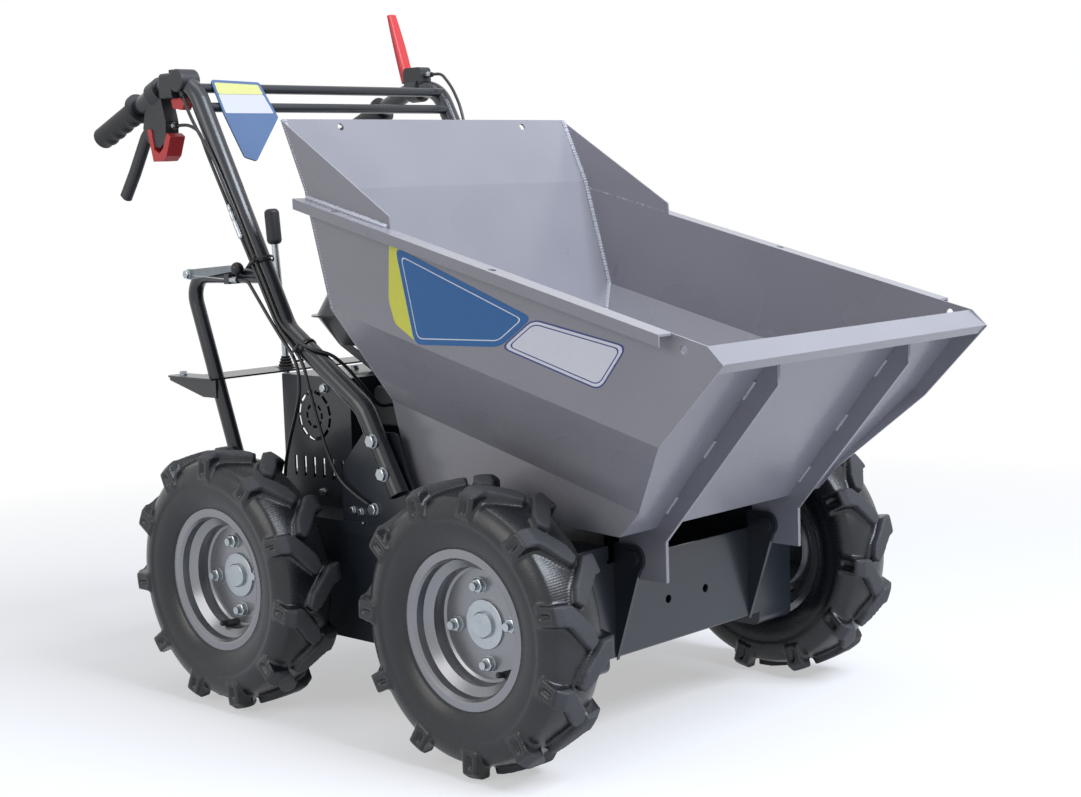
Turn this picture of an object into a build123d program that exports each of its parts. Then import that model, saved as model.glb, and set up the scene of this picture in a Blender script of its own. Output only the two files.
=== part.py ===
from build123d import *
import math
import os

# Walk-behind four-wheel site dumper with a forward-tipping steel skip.
# +X is forward to the skip lip, +Y is the machine's left, +Z is up, all in millimetres.
# The origin is on the ground, midway between the axles and between the wheels.

# Wheels, size 4.00-8
WHEELBASE = 566
TRACK = 690
TYRE_RADIUS = 209
TYRE_WIDTH = 112
TREAD_RADIUS = 197
RIM_FLANGE_RADIUS = 115
BEAD_SEAT_RADIUS = 101.5
RIM_WIDTH = 76
DISC_DEPTH = 8
STUD_CIRCLE_RADIUS = 56
LUGS_PER_SIDE = 11
WHEEL_TURN = {"front": -16, "rear": -25}

# Chassis
CASE_LENGTH = 748
CASE_INNER_Y = 179
CASE_OUTER_Y = 265
CASE_BOTTOM_Z = 116
CASE_TOP_Z = 305
REST_TOP_Z = 343
PAN_BOTTOM_Z = 137
PAN_TOP_Z = 278
SHEET = 3
PLATE = 6

# Skip: its upper lines fall towards the lip at one slope
SKIP_FALL = 0.257
SKIP_HALF_WIDTH = 318
SKIP_LOW_HALF_WIDTH = 237
RIM_LINE_Z = 788
FOLD_LINE_Z = 633
LOW_FOLD_LINE_Z = 497
RAIL_OUTER_Y = 344
RAIL_FRONT_X = 618
SKIP_BACK_FOOT = (33, 356)
SKIP_BACK_BEND = (-95, 823)
SKIP_BACK_TOP = (-145, 932)
SKIP_FRONT_FOOT = (450, 335)
SKIP_FRONT_TOP = (675, 613)
LIP = (700, 591)
PIVOT = (408, 287)
EAR_RADIUS = 29
PIN_RADIUS = 7.95
BRACKET_Y = (-164, 151.6)
EAR_Y = (-157.4, 158.2)

# Handlebar
BAR_Y = 276
BAR_RADIUS = 16
GUARD_RADIUS = 12.5
GRIP_END = (-693, 926)
GRIP_LENGTH = 125
BAR_TOP_REAR = (-500, 1003)
BAR_TOP_FRONT = (-420, 1005)
BAR_KNEE = (-205, 606)
BAR_LOW_BEND = (-28, 491)
BAR_FOOT = (45, 362)
BAR_LEAN = (BAR_KNEE[0] - BAR_TOP_FRONT[0]) / (BAR_KNEE[1] - BAR_TOP_FRONT[1])
CROSSBAR_RADIUS = 8
CROSSBAR_AHEAD = 5.5
CABLE_RADIUS = 2.75

# Engine and its cover
CRANK = (-254, 454)
CYLINDER_RISE = 25
MOUNT_TOP_Z = 354
COVER_X = (-335, -162)
COVER_HALF_WIDTH = 190
COVER_TOP_Z = 520
TANK_X = -235


def outline_xz(points, y_from, y_to):
    """Extrude an outline of (x, z) points from y_from to y_to."""
    face = make_face(Polyline(*[(x, y_from, z) for x, z in points], close=True))
    return extrude(face, amount=y_to - y_from, dir=(0, 1, 0))


def y_cylinder(x, y_from, z, radius, length):
    """Cylinder along +Y that starts at y_from."""
    lie = Pos(x, y_from, z) * Rot(-90, 0, 0)
    return lie * Cylinder(radius, length, align=(Align.CENTER, Align.CENTER, Align.MIN))


def upright_box(x_range, y_range, z_range):
    size = [b - a for a, b in (x_range, y_range, z_range)]
    middle = [(a + b) / 2 for a, b in (x_range, y_range, z_range)]
    return Pos(*middle) * Box(*size)


def round_bar(points, radius, bend=0):
    """Round bar along the points, bent to one radius at each corner."""
    path = FilletPolyline(*points, radius=bend) if len(points) > 2 else Line(*points)
    return sweep(Plane(origin=path @ 0, z_dir=path % 0) * Circle(radius), path=path)


def tube(points, radius, bend=0, wall=2.5):
    return round_bar(points, radius, bend) - round_bar(points, radius - wall, bend)


def corner_radii(points):
    """Radius at each inner point: 0.45 of its shorter run, divided by the tangent of half the turn."""
    spots = [Vector(*point) for point in points]
    runs = [b - a for a, b in zip(spots, spots[1:])]
    radii = []
    for before, after in zip(runs, runs[1:]):
        half_turn = math.radians(before.get_angle(after)) / 2
        radii.append(0.45 * min(before.length, after.length) / math.tan(half_turn))
    return radii


def cable(name, points):
    """Sheathed control cable: straight runs joined by tangent arcs."""
    radii = corner_radii(points)
    path = FilletPolyline(*points, radius=radii)
    solid = sweep(Plane(origin=path @ 0, z_dir=path % 0) * Circle(CABLE_RADIUS), path=path)
    share = solid.volume / (math.pi * CABLE_RADIUS**2 * path.length)
    print(f"{name}: length {path.length:.0f} mm, volume share {share:.4f}, radii", [round(r) for r in radii])
    return solid


def on_left(points, y=BAR_Y):
    return [(x, y, z) for x, z in points]


def mirrored(solid):
    return mirror(solid, about=Plane.XZ)


# Tyre about the Y axis at the origin: tread, sidewalls, beads and two rows of lugs
def tyre_section():
    half = TYRE_WIDTH / 2
    shoulder = (TREAD_RADIUS - 9, half - 14)
    ridge = (158, half - 3)
    step = (156.5, half - 5)
    bead = (RIM_FLANGE_RADIUS, RIM_WIDTH / 2 + 2)
    crown = ThreePointArc((shoulder[0], -shoulder[1]), (TREAD_RADIUS, 0), shoulder)
    side = [
        ThreePointArc(shoulder, (TREAD_RADIUS - 25, half - 5), ridge),
        Line(ridge, step),
        ThreePointArc(step, (134, half - 7.5), bead),
        Polyline(
            bead, (RIM_FLANGE_RADIUS, RIM_WIDTH / 2 - SHEET), (BEAD_SEAT_RADIUS, RIM_WIDTH / 2 - SHEET),
            (BEAD_SEAT_RADIUS, 0),
        ),
    ]
    other = [mirror(edge, about=Plane.XZ) for edge in side]
    return make_face([crown] + side + other)


def lug():
    """One lug of the +Y row: it sweeps forward from the sidewall to just past the middle."""
    half = TYRE_WIDTH / 2
    around = [
        (150, -30), (TYRE_RADIUS, -30), (TYRE_RADIUS, half - 14), (TYRE_RADIUS - 10, half),
        (166, half), (160, half - 4), (150, half - 10),
    ]
    envelope = revolve(make_face(Polyline(*around, close=True)), axis=Axis.Y)
    plan = [(-37, 57), (-9, 57), (-5, 34), (22, 11), (33, -2), (24, -15), (3, -8), (-34, 26)]
    bar = extrude(Plane.XY.offset(165) * make_face(Polyline(*plan, close=True)), amount=60)
    notch = upright_box((-27, -19), (half - 5, half + 4), (170, 191))
    return (bar & envelope) - notch


def tyre():
    carcass = revolve(tyre_section(), axis=Axis.Y)
    pitch = 360 / LUGS_PER_SIDE
    left_lug = lug()
    right_lug = mirrored(left_lug)
    left_row = [Rot(0, pitch * i, 0) * left_lug for i in range(LUGS_PER_SIDE)]
    right_row = [Rot(0, pitch * (i + 0.5), 0) * right_lug for i in range(LUGS_PER_SIDE)]
    return carcass + left_row + right_row


# Pressed rim: flanges, bead seats and a well rolled from sheet, with the disc welded into the well
def rim():
    half = RIM_WIDTH / 2
    seat = BEAD_SEAT_RADIUS
    well = 88
    rolled = [
        (RIM_FLANGE_RADIUS, half), (RIM_FLANGE_RADIUS, half - SHEET), (seat, half - SHEET),
        (seat - 1, half - 18), (well, half - 26),
    ]
    inner = [
        (well - SHEET, half - 26), (seat - 4, half - 17), (seat - SHEET, half - 5),
        (seat, half - 1), (seat + 3, half),
    ]
    mirror_rolled = [(r, -y) for r, y in reversed(rolled)]
    mirror_inner = [(r, -y) for r, y in reversed(inner)]
    barrel = revolve(
        make_face(Polyline(*rolled, *mirror_rolled, *mirror_inner, *inner, close=True)), axis=Axis.Y
    )
    dish = [
        (well - SHEET, -DISC_DEPTH + 8), (well - 5, -DISC_DEPTH + 2), (well - 9, -DISC_DEPTH),
        (20, -DISC_DEPTH), (20, -DISC_DEPTH - SHEET), (well - 8, -DISC_DEPTH - SHEET),
        (well - SHEET, -DISC_DEPTH + 3),
    ]
    disc = revolve(make_face(Polyline(*dish, close=True)), axis=Axis.Y)
    for turn in range(4):
        stud = Rot(0, 90 * turn - 7, 0) * y_cylinder(STUD_CIRCLE_RADIUS, -20, 0, 6.5, 20)
        disc -= stud
    return barrel + disc


# Axle stub with its drive flange behind the disc and the retaining plate in front of it
def hub():
    face = -DISC_DEPTH - SHEET
    flange = y_cylinder(0, face - 8, 0, 70, 8)
    nose = y_cylinder(0, face, 0, 20, SHEET)
    plate = fillet(y_cylinder(0, -DISC_DEPTH, 0, 36, 3.5).edges().group_by(Axis.Y)[-1], 1)
    boss = chamfer(y_cylinder(0, -DISC_DEPTH + 3.5, 0, 19, 6).edges().group_by(Axis.Y)[-1], 1.5)
    inboard = TRACK / 2 - CASE_OUTER_Y + 30
    collar = y_cylinder(0, face - 34, 0, 24, 26)
    shaft = y_cylinder(0, -inboard, 0, 12.5, inboard + face)
    studs = [
        Rot(0, 90 * turn - 7, 0) * y_cylinder(STUD_CIRCLE_RADIUS, face, 0, 6, 20)
        for turn in range(4)
    ]
    return flange + nose + plate + boss + collar + shaft + studs


# Chain case: folded box with a lid whose edge turns down, and a bearing housing at each axle
def chain_case():
    half = CASE_LENGTH / 2
    box = upright_box(
        (-half, half), (CASE_INNER_Y, CASE_OUTER_Y - SHEET), (CASE_BOTTOM_Z, CASE_TOP_Z - SHEET)
    )
    box = fillet(box.edges().filter_by(Axis.Y).group_by(Axis.Z)[0], 14)
    lid = upright_box((-half - 3, half + 3), (CASE_INNER_Y, CASE_OUTER_Y), (CASE_TOP_Z - 20, CASE_TOP_Z))
    inside = upright_box(
        (-half, half), (CASE_INNER_Y - 1, CASE_OUTER_Y - SHEET), (CASE_TOP_Z - 30, CASE_TOP_Z - SHEET)
    )
    case = box + (lid - inside)
    for x in (-WHEELBASE / 2, WHEELBASE / 2):
        housing = y_cylinder(x, CASE_OUTER_Y - SHEET, TYRE_RADIUS, 46, 6)
        neck = y_cylinder(x, CASE_OUTER_Y + 3, TYRE_RADIUS, 27, 10)
        bore = y_cylinder(x, CASE_OUTER_Y - 30, TYRE_RADIUS, 12.55, 60)
        case = case + housing + chamfer(neck.edges().group_by(Axis.Y)[-1], 3) - bore
    return case


# Pan between the cases, folded from one sheet, with the gear lever's bracket on its rear plate
def chassis_pan():
    half = CASE_LENGTH / 2
    outer = [(-half, PAN_TOP_Z), (-half, PAN_BOTTOM_Z), (half, PAN_BOTTOM_Z), (half, PAN_TOP_Z)]
    inner = [
        (half - 4, PAN_TOP_Z), (half - 4, PAN_BOTTOM_Z + 4), (-half + 4, PAN_BOTTOM_Z + 4),
        (-half + 4, PAN_TOP_Z),
    ]
    pan = outline_xz(outer + inner, -CASE_INNER_Y, CASE_INNER_Y)
    low_corners = pan.edges().filter_by(Axis.Y).group_by(Axis.Z)[0]
    pan = fillet(low_corners, 4)
    for y in (-44, 44):
        pan -= Pos(half, y, 202) * Rot(0, 90, 0) * Cylinder(6.5, 30)
    shelf = upright_box((-462, -half), (-130, -70), (256, 262))
    web = outline_xz([(-half, 256), (-450, 256), (-half, 190)], -130, -124)
    return pan + shelf + web


# Tipping pivots: a bracket plate on the front plate, with the pin welded through it
def pivot_bracket(y, ear_y):
    front = CASE_LENGTH / 2
    x, z = PIVOT
    nose = (x + 13, z - 16), (x + 20, z + 4), (x, z + 20.5)
    edge = [
        Polyline(nose[2], (front, 307), (front, 134), nose[0]),
        ThreePointArc(*nose),
    ]
    face = Plane(origin=(0, y, 0), x_dir=(1, 0, 0), z_dir=(0, -1, 0)) * make_face(edge)
    plate = extrude(face, amount=PLATE, dir=(0, 1, 0))
    low = min(y, ear_y) - 4
    pin = y_cylinder(x, low, z, PIN_RADIUS, abs(ear_y - y) + PLATE + 8)
    head_y = y - 4 if y < ear_y else y + PLATE
    return plate + pin + y_cylinder(x, head_y, z, 12, 4)


def rest_beam():
    """Hollow cross member between the bar brackets, with two buffers under the skip floor."""
    reach = BAR_Y - BAR_RADIUS - PLATE
    cross = upright_box((52, 92), (-reach, reach), (CASE_TOP_Z, REST_TOP_Z))
    bore = upright_box((55, 89), (-reach, reach), (CASE_TOP_Z + 3, REST_TOP_Z - 3))
    foot = Align.CENTER, Align.CENTER, Align.MIN
    buffer = Cylinder(16, 6, align=foot) + Cylinder(12, 10, align=foot)
    cross = fillet(cross.edges().filter_by(Axis.Y), 4) - bore
    return cross + [Pos(72, y, REST_TOP_Z) * buffer for y in (-180, 180)]


# Skip walls: one folded section carried along the falling lines and trimmed by the side profile
def skip_section(inset, top):
    turn = math.atan2(SKIP_HALF_WIDTH - SKIP_LOW_HALF_WIDTH, FOLD_LINE_Z - LOW_FOLD_LINE_Z)
    rise = inset * math.tan(turn / 2)
    wide = SKIP_HALF_WIDTH - inset
    low = SKIP_LOW_HALF_WIDTH - inset
    left = [(low, 150), (low, LOW_FOLD_LINE_Z + rise), (wide, FOLD_LINE_Z + rise), (wide, top)]
    return left + [(-y, z) for y, z in reversed(left)]


def skip_prism(inset, top):
    back = -400
    points = [(back, y, z - SKIP_FALL * back) for y, z in skip_section(inset, top)]
    face = make_face(Polyline(*points, close=True))
    return extrude(face, amount=1300 * math.hypot(1, SKIP_FALL), dir=(1, 0, -SKIP_FALL))


def rim_line(x, drop=0):
    return (x, RIM_LINE_Z - SKIP_FALL * x - drop)


def band(points, shift):
    """Outline of a sheet that follows the points and is shifted by (dx, dz) for its other face."""
    back = [(x + shift[0], z + shift[1]) for x, z in reversed(points)]
    return list(points) + back


def skip_side():
    profile = [SKIP_BACK_FOOT, SKIP_FRONT_FOOT, LIP, rim_line(SKIP_FRONT_TOP[0]), rim_line(-93)]
    sheet = skip_prism(0, RIM_LINE_Z) - skip_prism(SHEET, RIM_LINE_Z + 100)
    side = sheet & outline_xz(profile, 0, 400)
    ends = (-93, RAIL_FRONT_X)
    rail_top = [rim_line(x) for x in ends] + [rim_line(x, SHEET) for x in reversed(ends)]
    rail_drop = [rim_line(x) for x in ends] + [rim_line(x, 16) for x in reversed(ends)]
    rail = outline_xz(rail_top, SKIP_HALF_WIDTH - SHEET, RAIL_OUTER_Y)
    rail += outline_xz(rail_drop, RAIL_OUTER_Y - SHEET, RAIL_OUTER_Y)
    for x in (-12, 315):
        rail -= Pos(x, 331, rim_line(x)[1]) * Cylinder(6, 20)
    cheek = [(-91, 805), SKIP_BACK_BEND, SKIP_BACK_TOP, (94, 782), rim_line(96, 6)]
    side += rail
    side += outline_xz(cheek, SKIP_HALF_WIDTH - SHEET, SKIP_HALF_WIDTH)
    hole_z = rim_line(638)[1] - 15
    return side - y_cylinder(638, SKIP_HALF_WIDTH - 10, hole_z, 6, 20)


def skip_back_panel():
    faces = band([SKIP_BACK_FOOT, SKIP_BACK_BEND, SKIP_BACK_TOP], (SHEET, 0.8))
    panel = outline_xz(faces, -400, 400) & skip_prism(SHEET, 1300)
    for y in (-205, 205):
        panel -= Pos(-138, y, 920) * Rot(0, 65, 0) * Cylinder(6, 30)
    return panel


def skip_front_panel():
    """Front panel: its top is folded forward into the lip and down again."""
    foot = (SKIP_FRONT_FOOT[0] - 1, SKIP_FRONT_FOOT[1])
    top = SKIP_FRONT_TOP
    tip = (LIP[0] - 1, LIP[1] + 1)
    under = (tip[0] - 12, tip[1] - 12.5)
    outer = [foot, (top[0] - 6, top[1] - 8.4), (tip[0] - 3.2, tip[1] - 3), (under[0] - 2.2, under[1] + 2.2)]
    inner = [under, tip, (top[0] - 4, top[1] + 1), (foot[0] - 4, foot[1] + 0.2)]
    return outline_xz(outer + inner, -400, 400) & skip_prism(SHEET, 1300)


def skip_floor():
    low = SKIP_LOW_HALF_WIDTH - SHEET
    start = (SKIP_BACK_FOOT[0] + 3.2, SKIP_BACK_FOOT[1])
    end = (SKIP_FRONT_FOOT[0] - 5.2, SKIP_FRONT_FOOT[1] + 0.3)
    return outline_xz(band([start, end], (0, SHEET)), -low, low)


def skip_rib(y):
    """Front rib, whose lower end is the ear that turns on the pivot pin."""
    low = PIVOT[1] - EAR_RADIUS
    panel_foot = (SKIP_FRONT_FOOT[0] - 0.9, SKIP_FRONT_FOOT[1])
    panel_top = (651.5, 583)
    edge = [
        Polyline((PIVOT[0], low), (466, low), (466, 317), (664, 548), (664, 575), panel_top),
        Polyline(panel_top, panel_foot, (PIVOT[0] - EAR_RADIUS, SKIP_FRONT_FOOT[1] + 3.4)),
        Line((PIVOT[0] - EAR_RADIUS, SKIP_FRONT_FOOT[1] + 3.4), (PIVOT[0] - EAR_RADIUS, PIVOT[1])),
        RadiusArc((PIVOT[0] - EAR_RADIUS, PIVOT[1]), (PIVOT[0], low), EAR_RADIUS),
    ]
    face = Plane(origin=(0, y, 0), x_dir=(1, 0, 0), z_dir=(0, -1, 0)) * make_face(edge)
    rib = extrude(face, amount=PLATE, dir=(0, 1, 0))
    return rib - y_cylinder(PIVOT[0], y - 1, PIVOT[1], PIN_RADIUS + 0.05, PLATE + 2)


# Handlebar: two bent tubes, two crossbars, and the guard tubes that brace them at the rear
BAR_POINTS = on_left([GRIP_END, BAR_TOP_REAR, BAR_TOP_FRONT, BAR_KNEE, BAR_LOW_BEND, BAR_FOOT])
GUARD_POINTS = [(-262, BAR_Y, 690), (-460, BAR_Y, 688), (-352, BAR_Y - 24, 290)]


def handlebar_tube():
    return tube(BAR_POINTS, BAR_RADIUS, 55)


def bar_plane(z, ahead):
    """x of the sloping plane through the upper handlebar tubes, moved ahead in mm."""
    return BAR_TOP_FRONT[0] + BAR_LEAN * (z - BAR_TOP_FRONT[1]) + ahead * math.hypot(1, BAR_LEAN)


def crossbar(z):
    sides = round_bar(BAR_POINTS, BAR_RADIUS, 55)
    rung = y_cylinder(bar_plane(z, CROSSBAR_AHEAD), -BAR_Y, z, CROSSBAR_RADIUS, 2 * BAR_Y)
    return rung - sides - mirrored(sides)


def guard_tube():
    case_zone = upright_box((-900, 900), (0, 400), (0, CASE_TOP_Z))
    handle = round_bar(BAR_POINTS, BAR_RADIUS, 55)
    return tube(GUARD_POINTS, GUARD_RADIUS, 38) - case_zone - handle


def lever_anchor():
    """Gusset in the corner of the right guard tube, and the block that holds the latch cable's barrel."""
    gusset = outline_xz([(-304, 696), (-304, 702), (-279, 724), (-262, 732), (-236, 690)], BAR_Y - 2, BAR_Y + 2)
    block = upright_box((-331, -318), (BAR_Y, BAR_Y + 26), (677, 693))
    barrel = Pos(-309, BAR_Y + 21, 684) * Rot(0, 90, 0) * Cylinder(4.5, 18)
    handle = round_bar(BAR_POINTS, BAR_RADIUS, 55)
    bore = round_bar(GUARD_POINTS, GUARD_RADIUS - 2.5, 38)
    return gusset + block + barrel - handle - bore


def latch_lever():
    """Flat lever with a ball knob, on a pivot boss at the rear corner of the guard tube."""
    outline = [
        (-442, 683), (-424, 683), (-316, 697), (-310, 699), (-310, 706), (-322, 707), (-424, 700),
        (-442, 700),
    ]
    strip = outline_xz(outline, BAR_Y + 18, BAR_Y + 22)
    strip = fillet(strip.edges().filter_by(Axis.Y).group_by(Axis.X)[0], 8)
    boss = y_cylinder(-433, BAR_Y + 8, 691.5, 8, 14)
    knob = Pos(-302, BAR_Y + 20, 702) * Sphere(10.5)
    return strip + boss + knob - round_bar(GUARD_POINTS, GUARD_RADIUS, 38)


# Control cables, as points (x, |y|, z): three on the right and one on the left
CLUTCH_CABLE = [
    (-471, 276, 938), (-441, 276, 938), (-401, 283, 926), (-371, 294, 893), (-227, 296.5, 650),
    (-203, 296.5, 609), (-168, 296, 580), (-147, 294, 553), (-141, 289, 510), (-136, 279, 460),
    (-126, 271, 410), (-105, 267.5, 370), (-72, 266, 350), (-40, 265.5, 337),
]
THROTTLE_CABLE = [
    (-431, 290, 983), (-414, 294, 958), (-386, 297, 924), (-352, 296.5, 884), (-325, 295.2, 838),
    (-220.7, 294.6, 654), (-198.3, 294.6, 612.4), (-150, 294.5, 584), (-124, 286, 576),
    (-112, 264, 567), (-107, 238, 544), (-105, 208, 510), (-104, 178, 477), (-104, 150, 477),
]
LATCH_CABLE = [
    (-300, 297, 684), (-276, 297, 684), (-250, 298, 656), (-224, 297, 624), (-196, 295, 591),
    (-172, 293.5, 566), (-164, 291, 541), (-171, 285, 508), (-193, 276, 473), (-228, 262, 431),
    (-262, 248, 385), (-281, 238, 340), (-281, 238, 305),
]
TIP_CABLE = [
    (-434, 276, 1031), (-409, 276, 1031), (-378, 272, 1004), (-350, 266, 965), (-336, 262, 920),
    (-322, 260, 872), (-213, 259, 658), (-193, 259, 617.3), (-52, 258, 526), (-28, 252, 502),
    (-10, 247, 466), (6, 246, 430), (30, 246, 402), (54, 246, 384), (66, 246, 366), (66, 246, 343),
]


def bar_bracket():
    """Upright plate on the chain case, to which the handlebar tube is bolted."""
    edge = [
        (-108, CASE_TOP_Z), (62, CASE_TOP_Z), (66, 350), (44, 392), (24, 452),
        (-47, 452), (-105, 393),
    ]
    plate = outline_xz(edge, BAR_Y - BAR_RADIUS - PLATE, BAR_Y - BAR_RADIUS)
    corners = plate.edges().filter_by(Axis.Y).group_by(Axis.Z)[-1]
    return fillet(corners, 10)


def rear_shelf():
    """Flat bar between the guard tubes, with a tapered lug behind each tube."""
    strip = upright_box((-480, -400), (-288, 288), (COVER_TOP_Z - 6, COVER_TOP_Z - 3))
    gate = upright_box((-462, -412), (-107, -93), (COVER_TOP_Z - 20, COVER_TOP_Z + 20))
    shelf = strip - gate
    tab = upright_box((-530, -480), (244, 288), (COVER_TOP_Z - 6, COVER_TOP_Z - 3))
    web = outline_xz([(-530, 517), (-530, 508), (-436, 484), (-400, 484), (-400, 517)], 273, 279)
    side = fillet(tab.edges().filter_by(Axis.Z).group_by(Axis.X)[0], 12) + web
    guard = round_bar(GUARD_POINTS, GUARD_RADIUS, 38)
    return shelf + side + mirrored(side) - guard - mirrored(guard)


def grip():
    """Rubber grip with finger swells below and a flange at its front."""
    start = Vector(GRIP_END[0], BAR_Y, GRIP_END[1])
    lie = Vector(BAR_TOP_REAR[0], BAR_Y, BAR_TOP_REAR[1]) - start
    base = Plane(origin=start, x_dir=(0, 1, 0), z_dir=lie)
    body = extrude(base * Circle(19), amount=GRIP_LENGTH)
    body += extrude(base.offset(GRIP_LENGTH - 6) * Circle(26), amount=6)
    for i in range(4):
        body += base.offset(22 + 25 * i) * Pos(0, -5.5, 0) * Sphere(16.5)
    return body - extrude(base * Circle(BAR_RADIUS), amount=GRIP_LENGTH)


# Controls: panel on the crossbars, clutch lever and throttle on the right, tipping lever on the left
def control_panel():
    """Sheet in front of the crossbars; its lower half tapers to a rounded point."""
    outline = [(-253, 1009), (-154, 1006), (-142, 946), (-222, 873), (-244, 880), (-252, 950)]
    ahead = CROSSBAR_AHEAD + CROSSBAR_RADIUS
    face = make_face(Polyline(*[(bar_plane(z, ahead), y, z) for y, z in outline], close=True))
    normal = Vector(1, 0, -BAR_LEAN).normalized()
    sheet = extrude(face, amount=2.5, dir=normal)
    corners = [edge for edge in sheet.edges() if abs(abs(edge.tangent_at(0).dot(normal)) - 1) < 1e-3]
    return fillet(corners, 6)


def collar(middle, lie, radius, length):
    """Clamp round the handlebar tube, from its middle point and the tube's direction."""
    start = Vector(*middle) - Vector(*lie).normalized() * (length / 2)
    return extrude(Plane(origin=start, z_dir=lie) * Circle(radius), amount=length)


def clutch_perch():
    """Housing that hangs below the right tube from a collar and carries the clutch lever."""
    outline = [
        (-538, 982), (-500, 996), (-486, 946), (-488, 914), (-506, 902), (-540, 912), (-552, 936),
        (-546, 958),
    ]
    body = outline_xz(outline, BAR_Y - 13, BAR_Y + 13)
    body = fillet(body.edges().filter_by(Axis.Y), 5)
    ring = collar((-519, BAR_Y, 995), (193, 0, 77), 22, 26)
    adjuster = Pos(-488, BAR_Y, 938) * Rot(0, 90, 0) * Cylinder(4.5, 34)
    return body + ring + adjuster - round_bar(BAR_POINTS, BAR_RADIUS, 55)


def clutch_lever():
    """Hand lever of flattened section: it starts in the perch and hangs below the grip."""
    points = [(-530, BAR_Y, 944), (-562, BAR_Y, 922), (-603, BAR_Y, 862), (-634, BAR_Y, 822)]
    path = FilletPolyline(*points, radius=30)
    section = Plane(origin=path @ 0, x_dir=(0, 1, 0), z_dir=path % 0) * RectangleRounded(17, 22, 7)
    return sweep(section, path=path) - clutch_perch()


def clutch_lock():
    """Catch in the shape of a U that holds the lever pulled in."""
    outline = [
        (-538, 934), (-526, 934), (-520, 900), (-506, 893), (-496, 900), (-482, 926), (-472, 920),
        (-486, 888), (-498, 880), (-524, 880),
    ]
    return outline_xz(outline, BAR_Y - 15, BAR_Y + 15) - clutch_perch()


def throttle_housing():
    """Switch block round the right tube, with a button on top and a round housing beside it."""
    body = upright_box((-488, -454), (BAR_Y - 21, BAR_Y + 21), (982, 1024))
    body = fillet(body.edges().filter_by(Axis.X), 7)
    wheel = fillet(y_cylinder(-442, BAR_Y - 17, 1010, 19, 38).edges(), 3)
    button = upright_box((-478, -462), (BAR_Y - 7, BAR_Y + 7), (1020, 1030))
    end = Plane(origin=THROTTLE_CABLE[0], z_dir=Vector(*THROTTLE_CABLE[0]) - Vector(*THROTTLE_CABLE[1]))
    spout = extrude(end * Circle(4.5), amount=22)
    return body + wheel + button + spout - round_bar(BAR_POINTS, BAR_RADIUS, 55)


def throttle_thumb():
    """Thumb piece below the housing."""
    plate = outline_xz([(-474, 982), (-446, 982), (-436, 972), (-444, 962), (-468, 966)], BAR_Y - 9, BAR_Y + 9)
    tube_zone = round_bar(BAR_POINTS, BAR_RADIUS, 55)
    return fillet(plate.edges().filter_by(Axis.Y), 3) - tube_zone - throttle_housing()


def tip_lever_mount():
    """Collar on the left tube with the fork that holds the tipping lever."""
    block = upright_box((-500, -452), (BAR_Y - 13, BAR_Y + 13), (1012, 1046))
    block = fillet(block.edges().filter_by(Axis.Y), 8)
    ring = collar((-476, BAR_Y, 1003.5), (80, 0, 2), 22, 26)
    adjuster = Pos(-443, BAR_Y, 1031) * Rot(0, 90, 0) * Cylinder(4.5, 18)
    return block + ring + adjuster - round_bar(BAR_POINTS, BAR_RADIUS, 55)


def tip_lever():
    """Flat lever that leans to the rear and narrows to its tip."""
    lean = (-0.29, 0, 1)
    lever = loft([
        Plane(origin=(-502, BAR_Y, 1020), x_dir=(1, 0, 0.29), z_dir=lean) * RectangleRounded(16, 24, 6),
        Plane(origin=(-518, BAR_Y, 1075), x_dir=(1, 0, 0.29), z_dir=lean) * RectangleRounded(14, 26, 6),
        Plane(origin=(-541, BAR_Y, 1148), x_dir=(1, 0, 0.29), z_dir=lean) * RectangleRounded(9, 19, 4),
    ])
    return lever - tip_lever_mount() - round_bar(BAR_POINTS, BAR_RADIUS, 55)


def gear_lever():
    """Shift rod that rises from its bracket through the gate in the rear shelf."""
    return round_bar([(-432, -100, 262.2), (-437, -100, 560), (-452, -100, 742)], 6, 200)


def gear_knob():
    return Pos(-453.6, -100, 763) * Rot(0, -4.7, 0) * fillet(Cylinder(13, 62).edges(), 8) - gear_lever()


# Engine with its crankshaft along Y: block, finned cylinder, fan housing, tank, filter and muffler
def engine_mount():
    """Raised plate across the pan, with a leg down to it on each side."""
    top = upright_box((-345, -60), (-CASE_INNER_Y, CASE_INNER_Y), (MOUNT_TOP_Z - 6, MOUNT_TOP_Z))
    leg = upright_box((-345, -60), (CASE_INNER_Y - 6, CASE_INNER_Y), (PAN_TOP_Z, MOUNT_TOP_Z))
    return top + leg + mirrored(leg)


def engine_block():
    x, z = CRANK
    case = upright_box((x - 66, x + 70), (-90, 95), (MOUNT_TOP_Z + 8, z + 54))
    case = fillet(case.edges().filter_by(Axis.Z), 20)
    case = chamfer(case.edges().group_by(Axis.Z)[-1], 8)
    feet = upright_box((x - 74, x + 78), (-98, 103), (MOUNT_TOP_Z, MOUNT_TOP_Z + 8))
    boss = fillet(y_cylinder(x, 90, z, 50, 20).edges().group_by(Axis.Y)[-1], 6)
    return case + feet + boss + y_cylinder(x, 100, z, 10, 62)


def on_cylinder_axis(distance):
    """Frame on the inclined cylinder axis, at a distance from the crankshaft."""
    rise = math.radians(CYLINDER_RISE)
    x = CRANK[0] + distance * math.cos(rise)
    z = CRANK[1] + distance * math.sin(rise)
    return Plane(origin=(x, 0, z), x_dir=(0, 1, 0), z_dir=(math.cos(rise), 0, math.sin(rise)))


def cylinder_head():
    barrel = extrude(on_cylinder_axis(40) * Circle(38), amount=124)
    body = barrel + extrude(on_cylinder_axis(162) * RectangleRounded(92, 70, 12), amount=26)
    for i in range(6):
        body += extrude(on_cylinder_axis(118 + 8 * i) * RectangleRounded(108, 84, 10), amount=3)
    return body - engine_block()


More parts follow.
